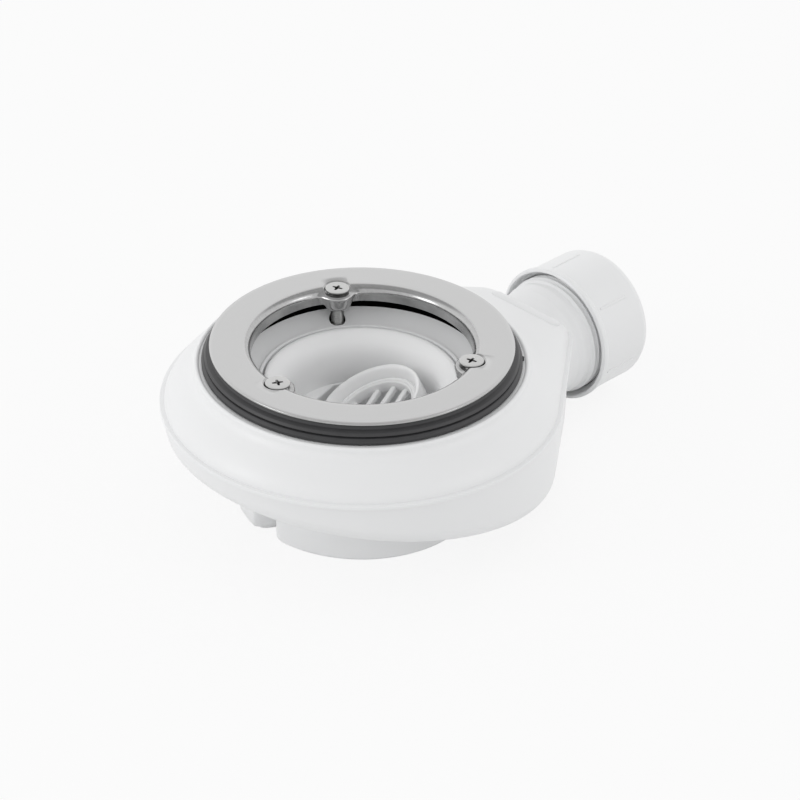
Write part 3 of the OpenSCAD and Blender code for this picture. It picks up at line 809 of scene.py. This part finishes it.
def machine_screws():
    """Countersunk screws with a cross recess and a cut thread"""
    head_r, core_r, crest = 4.65, 1.98, 0.48
    for i, (low, high) in enumerate(screw_boxes):
        head = high.z
        section = [(0, head), (3.9, head)]
        section += arc(head_r - 0.3, head - 0.32, 0.3, 80, -10, 5)
        section += [(head_r - 0.05, head - 0.55), (core_r + 0.75, head - 2.7), (core_r + 0.45, head - 3.1),
                    (core_r + 0.25, head - 4)]
        rows = turned_rows(section, around(96))
        rows += list(reversed(threaded_rows(core_r, crest, 0.8, low.z + 0.7, head - 4.2, 96)))
        rows += turned_rows([(core_r, low.z + 0.5), (core_r - 0.5, low.z), (0, low.z)], around(96))
        rows = placed(rows, at_screw(i))
        screw = add_piece(f"machine_screw_{i + 1}", *skin(rows, closed=False), screw_steel, "screw",
                          [f"screw_{i + 1}"], sharp=45)
        cut(screw, recess_tools(i, head), sharp=45)


def recess_tools(i, head):
    """The two crossing blades that are pressed into a screw's head, narrower at their bottom"""
    reach, half, tip, depth, above = 2.35, 0.8, 0.38, 2.0, 0.4
    tools = []
    stand = (20, 61, 16)[i] - math.degrees(screw_angles[i])
    for turn in (stand, stand + 90):
        mesh = bpy.data.meshes.new("recess")
        blade = ((-reach, -tip), (0, -half), (reach, -tip), (reach, tip), (0, half), (-reach, tip))
        corners = [(x, y, above) for x, y in blade] + [(x * 0.35, y * 0.6, -depth) for x, y in blade]
        sides = [(k, (k + 1) % 6, 6 + (k + 1) % 6, 6 + k) for k in range(6)]
        place = at_screw(i) @ Matrix.Translation((0, 0, head)) @ Matrix.Rotation(math.radians(turn), 4, "Z")
        mesh.from_pydata([(place @ Vector(c)) * MM for c in corners], [],
                         [tuple(range(6)), tuple(range(11, 5, -1))] + sides)
        shape = bmesh.new()
        shape.from_mesh(mesh)
        bmesh.ops.recalc_face_normals(shape, faces=shape.faces)
        shape.to_mesh(mesh)
        shape.free()
        tool = bpy.data.objects.new("recess", mesh)
        bpy.context.scene.collection.objects.link(tool)
        tools.append(tool)
    return tools


def tray_seals():
    """The two black seals that hold the tray between them"""
    outer = foot_high.x
    inner = screw_circle + 5.75
    turned_piece("upper_gasket", rounded([
        (inner, lip_low.z, 0.2), (outer - 1.6, lip_low.z, 0.25), (outer - 1.0, lip_low.z + 0.5, 0.3),
        (outer - 1.7, lip_low.z + 1.5, 0.5), (outer - 3.5, lip_low.z + 2.1, 0.6),
        (outer - 3.9, lip_high.z - 0.05, 0.15), (inner, lip_high.z - 0.05, 0.15)]), rubber, "seal", ["upper_seal"],
        steps=360)
    hold = foot_low.z
    inner = 45.55
    turned_piece("lower_gasket", rounded([
        (inner, hold, 0.2), (inner + 4.2, hold, 0.2), (inner + 4.2, seat_z, 0.2), (outer - 0.5, seat_z, 0.2),
        (outer, seat_z + 0.6, 0.4), (outer - 0.1, seat_z + 1.6, 0.4), (outer - 0.9, lip_low.z - 0.35, 0.4),
        (outer - 2.2, lip_low.z - 0.05, 0.4), (inner, lip_low.z - 0.05, 0.2)]), rubber, "seal", ["lower_seal"],
        steps=360)
    turn = math.radians(-44)
    place = Matrix.Translation(((outer - 0.35) * math.cos(turn), (outer - 0.35) * math.sin(turn), seat_z + 0.2))
    turned_piece("moulding_nub", rounded([(0, 0), (1, 0, 0.2), (1, 1.4, 0.4), (0, 1.4)]), rubber, "seal",
                 matrix=place, steps=32, closed=False)


def trap_funnel():
    """Lift-out cup: rounded rim, funnel, straight-edged ledge and dip tube"""
    edge_way = grille_turn + slat_turn + math.pi / 2
    corner = math.acos(ledge_in / tube_r)
    angles = sorted(around(360) + [(edge_way + side * corner) % (2 * math.pi) for side in (-1, 1)])
    well = np.minimum(tube_r, ledge_in / np.maximum(np.cos(np.array(angles) - edge_way), 0.1))
    neck = tube_r + tube_wall
    inside = arc(cup_r - 0.5, cup_rim - 0.5, 0.5, 0, 95, 6) + [(cup_r - 1.3, cup_rim - 0.02)]
    inside += [(r, cup_rim - down) for r, down in (
        (34.2, 0.5), (32.8, 1.4), (31.35, 2.7), (31.1, 3.0), (30.3, 4.1), (29.5, 5.7), (28.95, 7.2), (28.6, 8.7),
        (28.3, 10.5), (28.05, 12.5), (27.8, 15), (tube_r, 18.3))]
    inside.append((tube_r, ledge_z))
    rows = turned_rows(inside, angles)
    dip = cup_low.z
    rows += [ring_points(angles, well - 0.1, ledge_z), ring_points(angles, well - 0.5, ledge_z - 0.4),
             ring_points(angles, well - 0.5, dip + 0.3), ring_points(angles, well - 0.2, dip),
             ring_points(angles, well + tube_wall - 0.3, dip), ring_points(angles, well + tube_wall, dip + 0.3),
             ring_points(angles, well + tube_wall, ledge_z - 2)]
    outside = rounded([
        (neck, ledge_z - 2, 0.3), (neck, throat_z, 0.5), (throat_r - 0.6, sleeve_seat - 3.5, 0.5),
        (throat_r - 0.6, sleeve_seat, 0.2), (cup_r, sleeve_seat, 0.3), (cup_r, sleeve_seat + 1.4, 0.2),
        (cup_r - 1.5, sleeve_seat + 1.4, 0.1), (cup_r - 1.5, sleeve_seat + 3.8, 0.1),
        (cup_r, sleeve_seat + 3.8, 0.2)])
    rows += turned_rows(outside, angles)
    add_piece("trap_funnel", *skin(rows), cup_plastic, "insert_cup", ["trap_cup"])


def grille_place():
    return (Matrix.Rotation(grille_turn, 4, "Z") @ Matrix.Translation(grille_middle)
            @ Matrix.Rotation(-grille_tilt, 4, "Y"))


def rounded_bar(x0, x1, y0, y1, z0, z1, bevel, matrix):
    """Points and faces of a bar with bevelled edges"""
    shape = bmesh.new()
    bmesh.ops.create_cube(shape, size=1.0)
    scale = Matrix.Diagonal((x1 - x0, y1 - y0, z1 - z0, 1))
    middle = Matrix.Translation(((x0 + x1) / 2, (y0 + y1) / 2, (z0 + z1) / 2))
    bmesh.ops.transform(shape, matrix=middle @ scale, verts=shape.verts)
    bmesh.ops.bevel(shape, geom=shape.edges[:] + shape.verts[:], offset=bevel, segments=4, profile=0.5,
                    affect="EDGES")
    bmesh.ops.transform(shape, matrix=matrix, verts=shape.verts)
    shape.verts.index_update()
    points = [v.co.copy() for v in shape.verts]
    faces = [[v.index for v in f.verts] for f in shape.faces]
    shape.free()
    return points, faces


def hair_basket():
    """Slanted basket with a stepped floor and parallel slats"""
    thick = 2.8
    place = grille_place()
    step = -3.9
    section = [(grille_open + 0.2, -grille_h), (grille_r - 0.5, -grille_h), (grille_r - 0.1, -grille_h + 0.1),
               (grille_r, -grille_h + 0.5)]
    section += arc(grille_r - 0.45, -0.45, 0.45, 0, 90, 4)
    section += [(grille_r - 0.9, -0.1), (grille_r - 1.4, -0.4), (grille_r - 1.85, -0.95), (grille_r - 2.2, -1.7),
                (grille_r - 2.5, -2.6), (grille_r - thick + 0.05, -3.5)]
    section += [(grille_r - thick, step), (grille_r - thick - 0.05, step - 0.6), (grille_r - thick - 0.2, step - 0.75)]
    section += arc(grille_r - thick - 1.0, step - 0.9, 0.8, 20, 170, 8)
    section += [(grille_r - thick - 1.85, step - 1.3)]
    section += arc(grille_open + 0.6, step - 1.15, 0.6, 80, 180, 5)
    turned_piece("hair_basket", section, basket_plastic, "insert_cup", ["hair_grille"], matrix=place, steps=200)
    pitch, width, shift = 6.4, 2.2, 0.9
    turn = place @ Matrix.Rotation(slat_turn, 4, "Z")
    for k in range(-2, 3):
        y = k * pitch + shift
        reach = math.sqrt((grille_open + 0.8) ** 2 - min(abs(y) + width / 2, grille_open) ** 2)
        points, faces = rounded_bar(-reach, reach, y - width / 2, y + width / 2, -grille_h - 0.5,
                                    -grille_h + 1.8, 0.55, turn)
        add_piece(f"slat_{k + 3}", points, faces, basket_plastic, "insert_cup")


def nut_piece():
    """Union nut: a lip at its near end, fine ribs and a rounded far end"""
    near, far = nut_low.x, nut_high.x
    lip_r = (nut_high.z - nut_low.z) / 2
    side = lip_r - 0.8
    bore = thread_r + 0.3
    section = rounded([
        (thread_r + 2.2, near + 0.1, 0.5), (side - 0.3, near, 0.5), (lip_r, near + 0.7, 0.5), (lip_r, near + 2.4, 0.5),
        (side, near + 3.4, 0.6), (side, far - 3.2, 2.4), (side - 1.1, far - 0.8, 1.0), (side - 3.2, far, 0.8),
        (pipe_r, far, 0.6), (pipe_r, far - 4, 0.2), (thread_r - 0.9, far - 4, 0.2),
        (thread_r - 0.9, far - 5.5, 0.2), (bore, spigot_end + 1, 0.4), (bore, near + 3.4, 0.4),
        (thread_r + 1.4, near + 2.2, 0.4)])
    turned_piece("nut_body", section, nut_plastic, "nut", ["union_nut"], matrix=on_outlet())
    for k in range(6):
        place = Matrix.Translation((near + 5, 0, outlet_z)) @ Matrix.Rotation(math.radians(48 + 60 * k), 4, "X")
        rib = rounded_bar(0, 15, -0.55, 0.55, side - 0.8, side + 0.28, 0.26, place)
        add_piece(f"nut_rib_{k + 1}", *rib, nut_plastic, "nut")


def outlet_trim():
    """CAD nodes that stay, with their finishes"""
    for node, material in (("wedge_seal", rubber), ("slip_washer", plastic), ("cup_sealing_ring", rubber),
                           ("thread_insert_1", brass), ("thread_insert_2", brass), ("thread_insert_3", brass)):
        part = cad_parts[node]
        part.data.materials.clear()
        part.data.materials.append(material)


def studio():
    """Floor, lamps, world and camera"""
    tent_light, dim_band, least_shade, more_beside, more_left, less_front = 1.04, 0.56, 0.25, 0.10, 0.12, 0.20
    finish = Finish("studio floor")
    paths = finish.add("ShaderNodeLightPath")
    seen = (paths["Is Camera Ray"] + paths["Is Glossy Ray"] + paths["Is Transmission Ray"]).clamped()
    dust = finish.noise(6, 2, 0.5)
    paper = finish.add("ShaderNodeBsdfDiffuse", {}, {"Color": finish.between(dust, (0.79,) * 3, (0.81,) * 3)})
    glow = finish.add("ShaderNodeEmission", {}, {"Color": (1, 1, 1, 1), "Strength": 1.0})
    mixed = finish.add("ShaderNodeMixShader", {}, {0: seen * 0.86, 1: paper["BSDF"], 2: glow["Emission"]})
    finish.add("ShaderNodeOutputMaterial", {}, {"Surface": mixed["Shader"]})
    half = 12.0
    mesh = bpy.data.meshes.new("floor")
    mesh.from_pydata([(-half, -half, 0), (half, -half, 0), (half, half, 0), (-half, half, 0)], [], [(0, 1, 2, 3)])
    floor = bpy.data.objects.new("floor", mesh)
    floor.data.materials.append(finish.material)
    bpy.context.scene.collection.objects.link(floor)

    world = bpy.data.worlds.new("studio")
    bpy.context.scene.world = world
    world.use_nodes = True
    tent = Nodes(world.node_tree)
    way = tent.add("ShaderNodeTexCoord")["Generated"]
    up = tent.add("ShaderNodeSeparateXYZ", {}, {0: way})["Z"]
    left, front = (tent.add("ShaderNodeVectorMath", {"operation": "DOT_PRODUCT"}, {0: way, 1: side})["Value"]
                   for side in ((-0.705, 0.709, 0), (-0.709, -0.705, 0)))
    paths = tent.add("ShaderNodeLightPath")
    sight = paths["Is Camera Ray"]
    shade = ((up - 0.64) * 9).clamped() * ((0.92 - up) * 9).clamped().above(least_shade + paths["Is Glossy Ray"] * 0.6)
    light = (tent_light - shade * dim_band + left.math("ABSOLUTE", left) * more_beside + left.above(0) * more_left
             - front.above(0) * less_front)
    back = tent.add("ShaderNodeBackground", {}, {"Color": (1, 1, 1, 1), "Strength": light + (1 - light) * sight})
    tent.add("ShaderNodeOutputWorld", {}, {"Surface": back["Background"]})

    def lamp(name, place, target, size, power):
        light = bpy.data.lights.new(name, "AREA")
        light.shape = "DISK"
        light.size = size
        light.energy = power
        lamp_object = bpy.data.objects.new(name, light)
        bpy.context.scene.collection.objects.link(lamp_object)
        lamp_object.location = place
        way = Vector(target) - Vector(place)
        lamp_object.rotation_euler = way.to_track_quat("-Z", "Y").to_euler()

    middle = (0.02, 0, 0.035)
    lamp("key softbox", (-1.14, 0.45, 0.5), middle, 0.5, 1.9)
    lamp("fill softbox", (0.44, -1.14, 0.5), middle, 0.4, 0.7)

    camera = bpy.data.cameras.new("camera")
    camera.lens = 135
    camera.sensor_width = 36
    camera.clip_start = 0.05
    eye = bpy.data.objects.new("camera", camera)
    bpy.context.scene.collection.objects.link(eye)
    pitch, turn, roll = (math.radians(a) for a in (31.864, 45.2, 0.945))
    eye.matrix_world = (Matrix.Translation((-0.6650, -0.6805, 0.6335)) @ Matrix.Rotation(-turn, 4, "Z")
                        @ Matrix.Rotation(math.pi / 2 - pitch, 4, "X") @ Matrix.Rotation(roll, 4, "Z"))
    bpy.context.scene.camera = eye
    bpy.context.scene.view_settings.view_transform = "Standard"


upper_moulding()
screw_bosses()
screw_hole_shades()
arm_lip()
lower_moulding()
outlet_neck()
pressed_ring()
machine_screws()
tray_seals()
trap_funnel()
hair_basket()
nut_piece()
outlet_trim()
studio()
